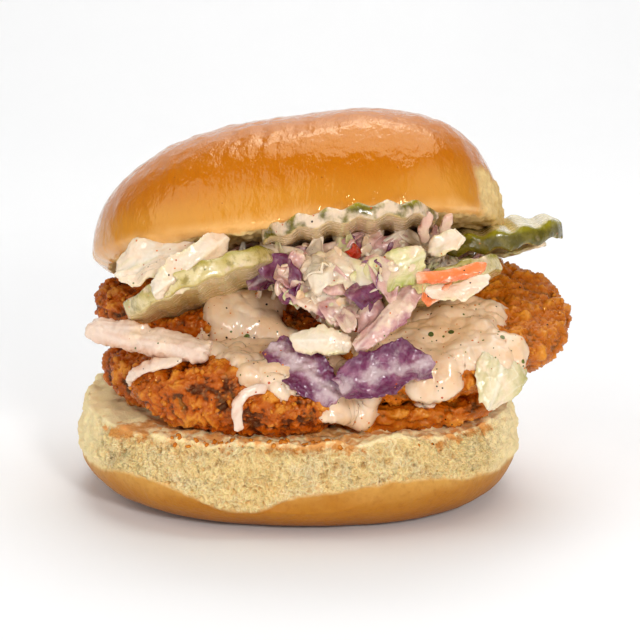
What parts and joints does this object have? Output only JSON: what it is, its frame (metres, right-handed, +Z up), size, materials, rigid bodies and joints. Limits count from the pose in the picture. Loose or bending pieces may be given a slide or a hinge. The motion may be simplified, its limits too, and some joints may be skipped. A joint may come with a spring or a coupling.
{
  "type": "chicken burger",
  "caption": "Fried chicken burger: a soft round bun filled with crusted chicken pieces, pink dressing, cabbage slaw and crinkle-cut pickles.",
  "frame": {"origin": "middle of the bottom bun's flat underside", "axes": "+Z up; the open side, where the filling shows, faces -Y; +X is to the right when seen from the open side"},
  "size_m": [0.1171, 0.1055, 0.0933],
  "materials": {
    "crust": "glazed golden-brown bread crust",
    "crumb": "torn soft bread crumb over a golden crust",
    "chicken": "craggy fried coating with an oily shine",
    "dressing": "wet, creamy and speckled",
    "pickle": "wet pickle flesh with a darker skin",
    "cabbage": "dressed white cabbage",
    "stem": "dressed pale stems",
    "green_cabbage": "dressed green cabbage",
    "purple_cabbage": "dressed purple cabbage",
    "pink_cabbage": "purple cabbage under cream dressing",
    "carrot": "wet shredded carrot"
  },
  "bodies": {
    "root": {"bun_bottom": "crumb", "bun_top": "crust", "chicken_front_left": "chicken", "chicken_left_low": "chicken", "chicken_left_top": "chicken", "chicken_right": "chicken", "chicken_mid_low": "chicken", "chicken_back": "chicken", "dressing_left": "dressing", "dressing_right": "dressing", "pickle_top": "pickle", "pickle_left": "pickle", "pickle_right_low": "pickle", "pickle_right_back": "pickle", "pickle_back": "pickle", "slaw": "cabbage", "cabbage_left_outer": "cabbage", "cabbage_left_inner": "cabbage", "cabbage_rib": "cabbage", "cabbage_shred_left": "cabbage", "cabbage_chunk": "cabbage", "cabbage_fold": "cabbage", "cabbage_mid": "cabbage", "cabbage_right_low": "cabbage", "cabbage_tip": "cabbage", "cabbage_back": "cabbage", "cabbage_back_left": "cabbage", "cabbage_right": "cabbage", "shred_front": "cabbage", "white_leaf": "cabbage", "green_leaf": "green_cabbage", "pink_leaf": "pink_cabbage", "pink_strip": "pink_cabbage", "stem_a": "stem", "stem_b": "stem", "purple_left": "purple_cabbage", "purple_right": "purple_cabbage", "purple_left_high": "purple_cabbage", "purple_back_right": "purple_cabbage", "carrot_shred": "carrot"}
  },
  "joints": []
}
